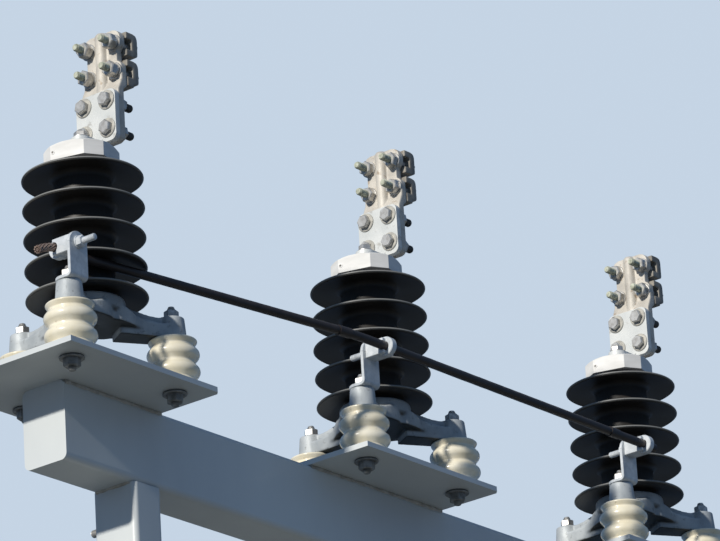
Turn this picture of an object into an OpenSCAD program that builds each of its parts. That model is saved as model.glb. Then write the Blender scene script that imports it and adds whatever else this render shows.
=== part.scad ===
// Three-phase surge arrester bank on a painted steel beam and two posts.
// X runs along the beam, Y across it away from the viewer, Z up. The origin is on the ground, midway.

/* [Support frame] */
// Height of the beam's top face above the ground
beam_top = 4100; // [2400:50:5000]
// Width of the beam across
beam_w = 80; // [70:5:90]
// Height of the beam's section
beam_h = 120; // [100:5:160]
// Wall of the beam's hollow section
beam_wall = 5; // [4:1:8]
// Beam end beyond the outer arrester's axis
beam_overhang = 54; // [40:2:80]
// Width of a post along the beam
post_w = 60; // [50:5:80]
// Wall of the posts' hollow section
post_wall = 4; // [3:1:6]
// Distance from the beam end to the post's outer face
post_inset = 143; // [120:1:220]
// Length of a base plate along the beam
base_x = 300; // [260:10:360]
// Length of a base plate across the beam
base_y = 400; // [380:10:480]
// Thickness of a base plate
base_t = 20; // [15:1:30]
// Height of the stiffening gussets on a base plate
gusset_h = 150; // [100:10:200]

/* [Mounting plates] */
// Distance between two arrester axes
pitch = 656; // [560:4:800]
// Length of a mounting plate along the beam
plate_x = 320; // [300:2:400]
// Plate edge in front of the arrester's axis
plate_front = 107; // [100:1:130]
// Plate edge behind the arrester's axis
plate_back = 157; // [150:1:180]
// Thickness of a mounting plate
plate_t = 8; // [6:1:12]
// Corner chamfer of a mounting plate
plate_chamfer = 6; // [3:1:12]

/* [Arrester] */
// Circle through the three insulating feet
foot_pcd = 254; // [230:2:260]
// Height of an insulating foot
foot_h = 70; // [60:1:90]
// Largest radius of a foot's bulges
foot_r = 38.5; // [36:0.5:40]
// Radius of the three-arm base's hub
hub_r = 55; // [50:1:58]
// Diameter of the rain sheds
shed_d = 178; // [160:1:186]
// Distance from one shed to the next
shed_pitch = 46.75; // [42:0.25:50]
// Radius of the housing between the sheds
core_r = 42; // [38:1:45]
// Number of rain sheds
shed_count = 5; // [3:1:6]
// Width of the cap across its wide sides
cap_w = 97; // [90:1:104]
// Height of the cap
cap_h = 26; // [20:1:30]

/* [Line terminal and earth cable] */
// Hole spacing of the four-hole pad
pad_spacing = 44.45; // [40:0.05:46]
// Diameter of the line conductor's groove
groove_d = 14; // [10:0.5:16]
// Diameter of the sleeved earth cable
cable_d = 14; // [10:0.5:15]
// Width of the flat bar that carries the cable
bracket_w = 38; // [32:1:42]
// Height of the cable's axis above the plate's underside
cable_z = 167; // [160:1:172]

/* [Hidden] */

// colours
paint = [0.72, 0.75, 0.76];
cream = [0.86, 0.81, 0.68];
cast_grey = [0.62, 0.65, 0.66];
black_polymer = [0.10, 0.10, 0.11];
light_metal = [0.80, 0.79, 0.77];
zinc = [0.66, 0.66, 0.62];
copper = [0.36, 0.24, 0.18];

// the beam and the arresters' line
arrester_y = -43;
beam_end = pitch + beam_overhang;
cap_plate_t = 5;
beam_r = 10;
beam_bottom = beam_top - beam_h;
post_x = beam_end - post_inset - post_w / 2;
post_r = 8;
anchor_x = base_x - 80;
anchor_y = base_y - 80;
anchor_r = 11;
gusset_t = 10;
gusset_reach = 110;
gusset_toe = 20;
stud_drop = 48;
stud_head_h = 8;
stud_washer_r = 13;
stud_washer_t = 3;
bolt_r = 6;
hole_r = 6.75;
nut_flats = 19;
nut_h = 10;

// one arrester, measured from the underside of its mounting plate
foot_x = foot_pcd / 2 * cos(30);
foot_y = foot_pcd / 4;
foot_lip_r = foot_r - 3;
foot_waist_r = foot_r - 6.5;
boss_bottom = plate_t + foot_h;
boss_h = 28;
boss_top = boss_bottom + boss_h;
boss_r = 18.5;
boss_draft = 3;
arm_box_h = 18.5;
arm_half = 15;
rib_half = 11;
rib_rise = 16;
hub_top = boss_top + 21;
hub_wall = 17;
hub_roof = 24;
foot_washer_r = 18.5;
foot_washer_t = 3;
foot_nut_flats = 22;
foot_nut_h = 13;
tip_z = hub_top + 2;
tip_r = 2;
shed_fillet = 9;
crown_fillet = 4;
core_top = 22.5;
housing_top = tip_z + (shed_count - 1) * shed_pitch + core_top;
cap_z = housing_top;
cap_top = cap_z + cap_h;
cap_chamfer = 21.6;
cap_turn = 16;
cap_slope = 30;

// line terminal, bolted on top of the cap
riser_h = 9.5;
riser_r = 14;
foot_plate_t = 10;
foot_half = 15;
centre_washer_r = 12.5;
washer_t = 2.5;
pad_x = 35;
pad_t = 10;
pad_edge = 16.5;
pad_foot_edge = 21;
pad_half = pad_spacing / 2 + 15.9;
pad_corner = 10;
pad_fillet = 8;
pad_z = cap_top + riser_h + foot_plate_t;
pad_row = pad_z + pad_foot_edge;
pad_top = pad_row + pad_spacing + pad_edge;
palm_washer_r = 14.5;
palm_head_h = 8;
palm_nut_washer_r = 12;

// line clamp, bolted behind the pad
palm_x = pad_x + pad_t;
palm_t = 13;
palm_half = 37;
palm_z = pad_z + 0.5;
palm_corner = 11;
jaw_step = 8;
jaw_t = 12;
groove_x = palm_x + palm_t + jaw_step;
jaw_x = groove_x - jaw_t;
jaw_row = pad_top + 34.5;
jaw_row_pitch = 44.5;
jaw_bolt_y = 24.5;
shoulder_z = jaw_row + 15.5;
jaw_top = jaw_row + jaw_row_pitch + 22;
waist_half = 29;
ear_half = 36;
ear_h = 36;
ear_corner = 16;
spine_r = 10;
jaw_washer_r = 13;
jaw_washer_t = 2;
jaw_nut_flats = 21;
jaw_nut_h = 10.5;
jaw_thread = 32;
jaw_head_flats = 18;
jaw_head_h = 7;
keeper_gap = 0.5;
keeper_half = 38;
keeper_corner = 14;
keeper_r = 19;
keeper_flat = 14;
keeper_lip = 5;
window_h = 17;
window_depth = 13;
window_inner = 13;
head_seat = 23.5;
head_pocket_r = 10.8;

// earth cable and its flat-bar brackets
bracket_t = 5;
bracket_front = foot_y + 20.5;
eye_bolt_r = 5;
eye_nut_flats = 16;
eye_nut_h = 8;
eye_washer_r = 10;
eye_washer_t = 2;
saddle_y = 27;
saddle_x = 25;
saddle_z = 24;
eye_r = 15;
eye_t = 11;
eye_out = 5;
cable_front = bracket_front + saddle_y + eye_out;
cable_back = bracket_front - bracket_t - saddle_y - eye_out;

module hex_prism(flats, height) {
    cylinder(d = flats / cos(30), h = height, $fn = 6);
}

module rounded_rect(x, y, r) {
    square([x - 2 * r, y], center = true);
    square([x, y - 2 * r], center = true);
    for (i = [-1, 1], j = [-1, 1])
        translate([i * (x / 2 - r), j * (y / 2 - r)]) circle(r, $fn = 32);
}

module rounded_tube(x, y, wall, r, length) {
    linear_extrude(length) difference() {
        rounded_rect(x, y, r);
        rounded_rect(x - 2 * wall, y - 2 * wall, r - wall);
    }
}

module beam() {
    color(paint) translate([-beam_end + cap_plate_t, 0, beam_top - beam_h / 2]) rotate([90, 0, 90])
        rounded_tube(beam_w, beam_h, beam_wall, beam_r, 2 * (beam_end - cap_plate_t));
}

module beam_cap(side) {
    color(paint) translate([side < 0 ? -beam_end : beam_end - cap_plate_t, 0, beam_top - beam_h / 2])
        rotate([90, 0, 90]) linear_extrude(cap_plate_t) rounded_rect(beam_w, beam_h, beam_r);
}

// a post with the hole for its earth stud
module post(side) {
    color(paint) difference() {
        translate([side * post_x, 0, base_t])
            rounded_tube(post_w, beam_w, post_wall, post_r, beam_bottom - base_t);
        translate([side * post_x, 0, beam_bottom - stud_drop]) rotate([-90, 0, 0])
            cylinder(r = bolt_r + 0.5, h = beam_w);
    }
}

module gusset() {
    rotate([90, 0, 0]) translate([0, 0, -gusset_t / 2]) linear_extrude(gusset_t)
        polygon([[0, 0], [gusset_reach, 0], [gusset_reach, gusset_toe],
            [gusset_toe, gusset_h], [0, gusset_h]]);
}

module post_base(side) {
    color(paint) translate([side * post_x, 0, 0]) {
        difference() {
            translate([-base_x / 2, -base_y / 2, 0]) cube([base_x, base_y, base_t]);
            for (i = [-1, 1], j = [-1, 1])
                translate([i * anchor_x / 2, j * anchor_y / 2, -1]) cylinder(r = anchor_r, h = base_t + 2);
        }
        translate([0, 0, base_t]) {
            for (t = [0, 180]) rotate([0, 0, t]) translate([post_w / 2, 0, 0]) gusset();
            for (t = [90, 270]) rotate([0, 0, t]) translate([beam_w / 2, 0, 0]) gusset();
        }
    }
}

// stud, washer and nut on the back of a post, its head inside
module earth_stud(side) {
    grip = stud_head_h + post_wall;
    color(zinc) translate([side * post_x, beam_w / 2 - grip, beam_bottom - stud_drop]) rotate([-90, 0, 0]) {
        cylinder(r = bolt_r, h = grip + stud_washer_t + nut_h + 15);
        hex_prism(nut_flats - 1, stud_head_h);
        translate([0, 0, grip]) cylinder(r = stud_washer_r, h = stud_washer_t);
        translate([0, 0, grip + stud_washer_t]) hex_prism(nut_flats, nut_h);
    }
}

// the three places of feet, arms and bolts round an arrester
function foot_place(i) = [foot_pcd / 2 * cos(210 + 120 * i), foot_pcd / 2 * sin(210 + 120 * i)];

module at_arrester(n) {
    translate([(n - 2) * pitch, arrester_y, beam_top]) children();
}

module at_feet() {
    for (i = [0, 1, 2]) translate(foot_place(i)) children();
}

module mounting_plate(n) {
    half = plate_x / 2;
    c = plate_chamfer;
    color(paint) at_arrester(n) difference() {
        linear_extrude(plate_t) polygon([
            [-half, -plate_front], [half - c, -plate_front], [half, -plate_front + c],
            [half, plate_back - c], [half - c, plate_back], [-half + c, plate_back],
            [-half, plate_back - c]]);
        at_feet() translate([0, 0, -1]) cylinder(r = hole_r, h = plate_t + 2);
    }
}

// points of an arc, from angle a to angle b in n steps
function arc(cx, cy, r, a, b, n) =
    [for (i = [0:n]) [cx + r * cos(a + (b - a) * i / n), cy + r * sin(a + (b - a) * i / n)]];

// outline of a ribbed foot: a lip, two bulges and a lip
module foot_outline() {
    mid = foot_h / 2;
    bulge = 12.5;
    apart = 14;
    lip = 2.5;
    neck = 9;
    polygon(concat(
        [[hole_r, 0]],
        arc(foot_lip_r - lip, lip, lip, -90, 60, 4),
        [[foot_waist_r - 1, neck]],
        arc(foot_r - bulge, mid - apart, bulge, -48, 56, 8),
        arc(foot_r - bulge, mid + apart, bulge, -56, 48, 8),
        [[foot_waist_r - 1, foot_h - neck]],
        arc(foot_lip_r - lip, foot_h - lip, lip, -60, 90, 4),
        [[hole_r, foot_h]]));
}

module insulating_feet(n) {
    color(cream) at_arrester(n) at_feet() translate([0, 0, plate_t])
        rotate_extrude($fn = 72) foot_outline();
}

// through bolts of the feet; the front left one also holds the cable bracket
module foot_bolts(n) {
    below = foot_washer_t + foot_nut_h + 5;
    above = washer_t + nut_h + 6;
    color(zinc) at_arrester(n) for (i = [0, 1, 2]) translate(foot_place(i)) {
        seat = boss_top + (i == 0 ? bracket_t : 0);
        translate([0, 0, -below]) cylinder(r = bolt_r, h = seat + below + above);
        translate([0, 0, -foot_washer_t]) cylinder(r = foot_washer_r, h = foot_washer_t);
        translate([0, 0, -foot_washer_t - foot_nut_h]) hex_prism(foot_nut_flats, foot_nut_h);
        translate([0, 0, seat]) cylinder(r = 2 * bolt_r, h = washer_t);
        translate([0, 0, seat + washer_t]) hex_prism(nut_flats, nut_h);
    }
}

// one arm of the base: a box below, a rib that climbs to the hub and the tapered boss at its end
module arm() {
    reach = foot_pcd / 2;
    root = hub_r - 10;
    flare = arm_half + 7;
    sweep = 60;
    translate([0, 0, boss_bottom]) {
        linear_extrude(arm_box_h)
            polygon([[root, -flare], [reach, -arm_half], [reach, arm_half], [root, flare]]);
        translate([0, rib_half, 0]) rotate([90, 0, 0]) linear_extrude(2 * rib_half) polygon(concat(
            [[root, 1], [reach, 1], [reach, boss_h]],
            arc(reach - 14, boss_h + sweep, sweep, -90, -118, 5),
            [[hub_r, boss_h + rib_rise], [root, boss_h + rib_rise]]));
        translate([reach, 0, 0]) cylinder(r1 = boss_r + boss_draft, r2 = boss_r, h = boss_h);
    }
}

module base_casting(n) {
    hub_h = hub_top - boss_bottom;
    color(cast_grey) at_arrester(n) difference() {
        union() {
            for (i = [0, 1, 2]) rotate([0, 0, 210 + 120 * i]) arm();
            translate([0, 0, boss_bottom]) rotate_extrude($fn = 96) polygon(concat(
                [[0, 0], [hub_r - 2, 0], [hub_r, 2]], arc(hub_r - 5, hub_h - 5, 5, 0, 90, 4), [[0, hub_h]]));
        }
        translate([0, 0, boss_bottom - 1]) cylinder(r = hub_r - hub_wall, h = hub_h - hub_roof + 1);
        at_feet() translate([0, 0, boss_bottom - 1]) cylinder(r = hole_r, h = boss_h + 2);
    }
}

// outline of the housing: one drooping shed after another on a straight core
function shed_outline(z) = concat(
    arc(core_r + shed_fillet, z - 6, shed_fillet, 180, 97, 4),
    arc(shed_d / 2 - tip_r, z + tip_r, tip_r, -96, 76, 6),
    arc(core_r + crown_fillet, z + 18, crown_fillet, 256, 180, 3));

module housing(n) {
    sheds = [for (k = [0:shed_count - 1]) each shed_outline(tip_z + k * shed_pitch)];
    color(black_polymer) at_arrester(n) rotate_extrude($fn = 96) polygon(concat(
        [[0, hub_top], [core_r + 3, hub_top], [core_r + 3, hub_top + 2]],
        [for (p = sheds) [p[0], max(p[1], hub_top + 2)]],
        [[core_r, housing_top], [0, housing_top]]));
}

// square cap with cut corners and a turned top edge, and the riser for the terminal, bored for its bolt
module cap(n) {
    h = cap_w / 2;
    c = cap_chamfer;
    reach = 1.5 * h;
    color(light_metal) at_arrester(n) difference() {
        union() {
            translate([0, 0, cap_z]) intersection() {
                rotate([0, 0, cap_turn]) linear_extrude(cap_h) polygon([
                    [-h, -h + c], [-h + c, -h], [h - c, -h], [h, -h + c],
                    [h, h - c], [h - c, h], [-h + c, h], [-h, h - c]]);
                rotate_extrude($fn = 96) polygon([[0, 0], [reach, 0],
                    [reach, cap_h - (reach - h) * tan(cap_slope)], [h, cap_h], [0, cap_h]]);
            }
            translate([0, 0, cap_top]) cylinder(r = riser_r, h = riser_h);
        }
        translate([0, 0, cap_top - 14]) cylinder(r = bolt_r + 0.2, h = riser_h + 15);
    }
}

// children at the four bolts of the pad, their axis along X
module at_pad_bolts(x) {
    for (i = [-1, 1], j = [0, 1])
        translate([x, i * pad_spacing / 2, pad_row + j * pad_spacing]) rotate([0, 90, 0]) children();
}

// children at the four bolts of the jaws
module at_jaw_bolts(x) {
    for (i = [-1, 1], j = [0, 1])
        translate([x, i * jaw_bolt_y, jaw_row + j * jaw_row_pitch]) rotate([0, 90, 0]) children();
}

// a flat shape drawn in Y and Z, from x on for a depth along X
module slab_x(x, depth) {
    translate([x, 0, 0]) rotate([90, 0, 90]) linear_extrude(depth) children();
}

// a flat shape drawn in X and Z, half of its width on each side of the middle
module slab_y(width) {
    translate([0, width / 2, 0]) rotate([90, 0, 0]) linear_extrude(width) children();
}

// angle terminal: a foot under the centre bolt and an upright four-hole pad
module terminal(n) {
    pad_h = pad_top - pad_z;
    fillet_x = pad_x - pad_fillet;
    color(light_metal) at_arrester(n) difference() {
        union() {
            translate([0, 0, pad_z - foot_plate_t]) linear_extrude(foot_plate_t) {
                circle(r = foot_half);
                translate([0, -foot_half]) square([palm_x, 2 * foot_half]);
            }
            slab_x(pad_x, pad_t) translate([0, pad_z + pad_h / 2])
                rounded_rect(2 * pad_half, pad_h, pad_corner);
            slab_y(2 * foot_half - 6) polygon(concat(
                [[pad_x + 1, pad_z - 1], [pad_x + 1, pad_z + pad_fillet]],
                arc(fillet_x, pad_z + pad_fillet, pad_fillet, 0, -90, 5),
                [[fillet_x, pad_z - 1]]));
        }
        translate([0, 0, pad_z - foot_plate_t - 1]) cylinder(r = hole_r, h = foot_plate_t + 2);
        at_pad_bolts(pad_x - 1) cylinder(r = hole_r, h = pad_t + 2);
    }
}

// front view of the clamp body: the palm and lower ears, a waist and the upper ears
module clamp_front() {
    lower_h = shoulder_z - palm_z;
    translate([0, palm_z + lower_h / 2]) rounded_rect(2 * palm_half, lower_h, palm_corner);
    translate([-waist_half, jaw_row]) square([2 * waist_half, jaw_row_pitch]);
    translate([0, jaw_top - ear_h / 2]) rounded_rect(2 * ear_half, ear_h, ear_corner);
}

// side view of the clamp body: the flat palm, and the jaw set back from it
module clamp_side() {
    polygon([[palm_x, palm_z], [palm_x + palm_t, palm_z], [palm_x + palm_t, pad_top + 3],
        [groove_x, pad_top + 10], [groove_x, jaw_top], [jaw_x, jaw_top], [jaw_x, pad_top + 21],
        [palm_x, pad_top + 1]]);
}

// clamp body: where both views overlap, with a round spine in front of the conductor
module clamp_body(n) {
    spine_z = pad_top - 4;
    color(light_metal) at_arrester(n) difference() {
        union() {
            intersection() {
                slab_x(palm_x - 1, groove_x) clamp_front();
                slab_y(2 * palm_half + 2) clamp_side();
            }
            intersection() {
                translate([palm_x + spine_r, 0, spine_z]) cylinder(r = spine_r, h = jaw_top - spine_z);
                translate([palm_x, -spine_r, spine_z])
                    cube([palm_t, 2 * spine_r, jaw_top - spine_z]);
            }
        }
        translate([groove_x, 0, pad_top + 2]) cylinder(d = groove_d, h = jaw_top);
        at_pad_bolts(palm_x - 1) cylinder(r = hole_r, h = palm_t + 2);
        at_jaw_bolts(jaw_x - 10) cylinder(r = hole_r, h = jaw_t + 11);
    }
}

// end view of a keeper: flat towards the jaw, round at the back; the lower one has a lip
module keeper_end(lip) {
    translate([0, -keeper_r]) square([keeper_flat, 2 * keeper_r]);
    translate([keeper_flat, 0]) circle(r = keeper_r);
    translate([0, -keeper_r - lip]) square([keeper_flat, keeper_r]);
}

// plan of a keeper: straight towards the jaw, its outer corners round
module keeper_plan() {
    depth = keeper_flat + keeper_r;
    inner = keeper_half - keeper_corner;
    translate([0, -keeper_half]) square([depth - keeper_corner, 2 * keeper_half]);
    translate([0, -inner]) square([depth, 2 * inner]);
    for (i = [-1, 1]) translate([depth - keeper_corner, i * inner]) circle(r = keeper_corner);
}

// one keeper, with windows at its ends and round pockets for the bolt heads
module keeper(lip) {
    difference() {
        intersection() {
            slab_y(2 * keeper_half + 2) keeper_end(lip);
            translate([0, 0, -2 * keeper_r]) linear_extrude(4 * keeper_r) keeper_plan();
        }
        for (i = [-1, 1]) {
            translate([-1, i > 0 ? window_inner : -window_inner - keeper_half, -window_h / 2])
                cube([window_depth + 1, keeper_half, window_h]);
            translate([-1, i * jaw_bolt_y, 0]) rotate([0, 90, 0]) cylinder(r = hole_r, h = 2 * keeper_r);
            translate([head_seat, i * jaw_bolt_y, 0]) rotate([0, 90, 0])
                cylinder(r = head_pocket_r, h = keeper_r);
        }
        translate([-keeper_gap, 0, -2 * keeper_r]) cylinder(d = groove_d, h = 4 * keeper_r);
    }
}

// two keepers that press the conductor into the jaw
module clamp_keepers(n) {
    color(light_metal) at_arrester(n) for (j = [0, 1])
        translate([groove_x + keeper_gap, 0, jaw_row + j * jaw_row_pitch]) keeper(j == 0 ? keeper_lip : 0);
}

// bolts of the terminal's foot, of the pad and of the jaws
module terminal_bolts(n) {
    foot_grip = foot_plate_t + riser_h + 8;
    grip = pad_t + palm_t;
    seat = groove_x + keeper_gap + head_seat;
    color(zinc) at_arrester(n) {
        translate([0, 0, pad_z]) {
            translate([0, 0, -foot_grip]) cylinder(r = bolt_r, h = foot_grip + washer_t);
            cylinder(r = centre_washer_r, h = washer_t);
            translate([0, 0, washer_t]) hex_prism(nut_flats - 1, palm_head_h);
        }
        at_pad_bolts(pad_x) {
            translate([0, 0, -washer_t]) cylinder(r = palm_washer_r, h = washer_t);
            translate([0, 0, -washer_t - palm_head_h]) hex_prism(nut_flats, palm_head_h);
            translate([0, 0, -washer_t]) cylinder(r = bolt_r, h = 2 * washer_t + grip + nut_h + 18);
            translate([0, 0, grip]) cylinder(r = palm_nut_washer_r, h = washer_t);
            translate([0, 0, grip + washer_t]) hex_prism(nut_flats, nut_h);
        }
        at_jaw_bolts(jaw_x) {
            translate([0, 0, -jaw_thread]) cylinder(r = bolt_r, h = jaw_thread + seat - jaw_x);
            translate([0, 0, -jaw_washer_t]) cylinder(r = jaw_washer_r, h = jaw_washer_t);
            translate([0, 0, -jaw_washer_t - jaw_nut_h]) hex_prism(jaw_nut_flats, jaw_nut_h);
            translate([0, 0, seat - jaw_x]) hex_prism(jaw_head_flats, jaw_head_h);
        }
    }
}

module at_bracket(n) {
    translate([(n - 2) * pitch - foot_x, arrester_y, beam_top]) children();
}

// bent flat bar on the front left boss, with a round top
module cable_bracket(n) {
    half = bracket_w / 2;
    color(zinc) at_bracket(n) difference() {
        union() {
            translate([0, 0, boss_top]) linear_extrude(bracket_t) {
                translate([-half, -bracket_front]) square([bracket_w, bracket_front - foot_y]);
                translate([0, -foot_y]) circle(r = half);
            }
            translate([0, -bracket_front + bracket_t, 0]) rotate([90, 0, 0])
                linear_extrude(bracket_t) {
                    translate([-half, boss_top]) square([bracket_w, cable_z - boss_top - 2]);
                    translate([0, cable_z - 2]) circle(r = half);
                }
        }
        translate([0, -foot_y, boss_top - 1]) cylinder(r = hole_r, h = bracket_t + 2);
        translate([0, -bracket_front - 1, cable_z]) rotate([-90, 0, 0])
            cylinder(r = eye_bolt_r + 0.5, h = bracket_t + 2);
    }
}

// saddle block, eye bolt and nut; built towards -Y from the bracket's face at y = 0
module cable_clamp_parts() {
    eye_y = -saddle_y - eye_out;
    bore = cable_d + 0.4;
    play = 0.3;
    shank = eye_bolt_r - 0.5;
    difference() {
        translate([-saddle_x / 2, -saddle_y, -saddle_z / 2]) cube([saddle_x, saddle_y, saddle_z]);
        translate([-eye_t / 2 - play, -saddle_y - 1, -saddle_z]) cube([eye_t + 2 * play, 13, 2 * saddle_z]);
        translate([-saddle_x, eye_y, 0]) rotate([0, 90, 0]) cylinder(d = bore, h = 2 * saddle_x);
        translate([0, 1, 0]) rotate([90, 0, 0]) cylinder(r = shank + 0.9, h = saddle_y - 9);
    }
    difference() {
        union() {
            translate([-eye_t / 2, eye_y, 0]) rotate([0, 90, 0]) cylinder(r = eye_r, h = eye_t);
            translate([0, eye_y + 9, 0]) rotate([-90, 0, 0]) cylinder(r = shank, h = 60);
        }
        translate([-eye_t, eye_y, 0]) rotate([0, 90, 0]) cylinder(d = bore, h = 2 * eye_t);
    }
    translate([0, bracket_t, 0]) rotate([-90, 0, 0]) {
        cylinder(r = eye_washer_r, h = eye_washer_t);
        translate([0, 0, eye_washer_t]) hex_prism(eye_nut_flats, eye_nut_h);
    }
}

module cable_clamp(n) {
    color(zinc) at_bracket(n) translate([0, -bracket_front, cable_z])
        if (n == 1) translate([0, bracket_t, 0]) rotate([0, 0, 180]) cable_clamp_parts();
        else cable_clamp_parts();
}

// a straight piece of cable from a to b
module cable_run(a, b, d) {
    v = b - a;
    translate(a) rotate([0, acos(v[2] / norm(v)), atan2(v[1], v[0])]) cylinder(d = d, h = norm(v));
}

cable_level = beam_top + cable_z;
clamp_1_x = -pitch - foot_x;
clamp_2_x = -foot_x;
clamp_3_x = pitch - foot_x;
cable_start = [clamp_1_x + 16, arrester_y - cable_back, cable_level];
cable_bend_1 = [clamp_1_x + 40, arrester_y - cable_back, cable_level];
cable_bend_2 = [clamp_2_x - 75, arrester_y - cable_front, cable_level];
cable_end = [clamp_3_x + 24, arrester_y - cable_front, cable_level];

// sleeved cable from clamp to clamp, with a collar before the second and third
module earth_cable() {
    color(black_polymer) {
        cable_run(cable_start, cable_bend_1, cable_d);
        translate(cable_bend_1) sphere(d = cable_d, $fn = 32);
        cable_run(cable_bend_1, cable_bend_2, cable_d);
        translate(cable_bend_2) sphere(d = cable_d, $fn = 32);
        cable_run(cable_bend_2, cable_end, cable_d);
        for (x = [clamp_2_x, clamp_3_x])
            translate([x - 55, arrester_y - cable_front, cable_level]) rotate([0, 90, 0])
                cylinder(d = cable_d + 3, h = 8);
    }
}

// bare stranded end that droops out of the first clamp, cut short; it swells a little where it bends
module earth_cable_tail() {
    bare_d = cable_d - 1.4;
    swell = 0.8;
    stops = [[15.5, 0], [-14, 0], [-32, -5.5], [-48, -13.5]];
    points = [for (p = stops) [clamp_1_x + p[0], arrester_y - cable_back, cable_level + p[1]]];
    color(copper) {
        for (i = [0, 1, 2]) cable_run(points[i], points[i + 1], bare_d);
        for (i = [1, 2]) translate(points[i]) rotate([0, 90, 0]) sphere(d = bare_d + swell, $fn = 32);
    }
}

beam();
beam_cap(-1);  // beam_cap_left
beam_cap(1);  // beam_cap_right
post(-1);  // post_left
post(1);  // post_right
post_base(-1);  // post_base_left
post_base(1);  // post_base_right
earth_stud(-1);  // earth_stud_left
earth_stud(1);  // earth_stud_right
mounting_plate(1);  // mounting_plate_1
mounting_plate(2);  // mounting_plate_2
mounting_plate(3);  // mounting_plate_3
insulating_feet(1);  // insulating_feet_1
insulating_feet(2);  // insulating_feet_2
insulating_feet(3);  // insulating_feet_3
foot_bolts(1);  // foot_bolts_1
foot_bolts(2);  // foot_bolts_2
foot_bolts(3);  // foot_bolts_3
base_casting(1);  // base_casting_1
base_casting(2);  // base_casting_2
base_casting(3);  // base_casting_3
housing(1);  // housing_1
housing(2);  // housing_2
housing(3);  // housing_3
cap(1);  // cap_1
cap(2);  // cap_2
cap(3);  // cap_3
terminal(1);  // terminal_1
terminal(2);  // terminal_2
terminal(3);  // terminal_3
clamp_body(1);  // clamp_body_1
clamp_body(2);  // clamp_body_2
clamp_body(3);  // clamp_body_3
clamp_keepers(1);  // clamp_keepers_1
clamp_keepers(2);  // clamp_keepers_2
clamp_keepers(3);  // clamp_keepers_3
terminal_bolts(1);  // terminal_bolts_1
terminal_bolts(2);  // terminal_bolts_2
terminal_bolts(3);  // terminal_bolts_3
cable_bracket(1);  // cable_bracket_1
cable_bracket(2);  // cable_bracket_2
cable_bracket(3);  // cable_bracket_3
cable_clamp(1);  // cable_clamp_1
cable_clamp(2);  // cable_clamp_2
cable_clamp(3);  // cable_clamp_3
earth_cable();
earth_cable_tail();
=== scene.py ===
# %% [markdown]
# # A bank of surge arresters on a steel frame
# Three ribbed black arresters stand in a row on a painted beam. Each has three cream feet below, a
# three-armed cast base, and an angle terminal with a line clamp on top. An earth cable runs along the
# front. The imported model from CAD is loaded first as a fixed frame. The pieces made here are drawn in the
# same millimetres, and most of them take the place of a CAD piece.

# %% Load the frame
import math
import bmesh
import bpy
from mathutils import Matrix, Vector, noise


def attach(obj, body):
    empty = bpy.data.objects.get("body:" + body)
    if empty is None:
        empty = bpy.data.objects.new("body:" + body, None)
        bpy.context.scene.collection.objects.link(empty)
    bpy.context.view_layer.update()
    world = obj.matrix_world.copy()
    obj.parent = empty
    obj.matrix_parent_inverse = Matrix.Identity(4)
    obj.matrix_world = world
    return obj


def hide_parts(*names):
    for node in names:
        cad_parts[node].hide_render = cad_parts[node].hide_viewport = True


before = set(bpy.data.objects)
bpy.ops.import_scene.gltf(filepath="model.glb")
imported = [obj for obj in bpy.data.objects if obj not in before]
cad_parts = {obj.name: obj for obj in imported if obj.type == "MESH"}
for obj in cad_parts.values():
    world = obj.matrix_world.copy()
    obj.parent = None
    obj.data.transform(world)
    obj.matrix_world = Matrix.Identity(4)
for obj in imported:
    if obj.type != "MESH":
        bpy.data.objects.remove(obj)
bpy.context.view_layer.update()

# %% [markdown]
# ## Sizes that the pieces share
# Most of these lengths can be found again in the CAD source. They are in millimetres, because such parts
# are drawn that way, and turned to metres at the very end, when a mesh is finished. The turn of the cap is
# in degrees. Heights in the second group are counted from the underside of a mounting plate.

# %% Shared sizes
MM = 0.001
PITCH = 656
BANK_Y = -43
BEAM_TOP = 4100
BEAM_END = 710
BEAM_H = 120
POST_X = 537
POST_HALF = 30

PLATE = 8
FOOT_PCD = 254
FOOT_H = 70
FOOT_R = 38.5
BOSS_BOTTOM = 78
BOSS_TOP = 113
BOSS_R = 18.5
BOSS_DRAFT = 3
HUB_R = 55
HUB_TOP = 127
SHED_R = 89
SHED_PITCH = 46.75
CORE_R = 42
HOUSING_TOP = 338.5
CAP_TOP = 364.5
CAP_HALF = 48.5
CAP_CORNER = 21.6
CAP_TURN = 16
RISER_R = 14
RISER_H = 9.5
FOOT_PLATE = 10
FOOT_HALF = 15
PAD_X = 35
PAD_T = 10
PAD_HALF = 38.1
PAD_Z = 384
PAD_ROW = 405
PAD_SPACING = 44.45
PAD_TOP = PAD_ROW + PAD_SPACING + 16.5
PALM_X = PAD_X + PAD_T
PALM_BACK = PALM_X + 13
PALM_HALF = 37
PALM_Z = PAD_Z + 0.5
GROOVE_X = 66
GROOVE_R = 7
JAW_T = 12
JAW_X = GROOVE_X - JAW_T
JAW_ROW = PAD_TOP + 34.5
JAW_PITCH = 44.5
JAW_TOP = JAW_ROW + JAW_PITCH + 22
JAW_BOLT_Y = 24.5
SHOULDER_Z = JAW_ROW + 15.5
KEEPER_X = GROOVE_X + 0.5
KEEPER_HALF = 38
KEEPER_R = 19
KEEPER_FLAT = 14
HEAD_SEAT = 23.5
CABLE_Z = 167
BRACKET_FRONT = 84
BAR_T = 5
BAR_BEND = 7
BAR_HALF = 19
EYE_REACH = 32
FOOT_X = FOOT_PCD / 2 * math.cos(math.radians(30))
FOOT_Y = FOOT_PCD / 4
print("Clamp top", JAW_TOP, "mm over the underside of its plate")
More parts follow.
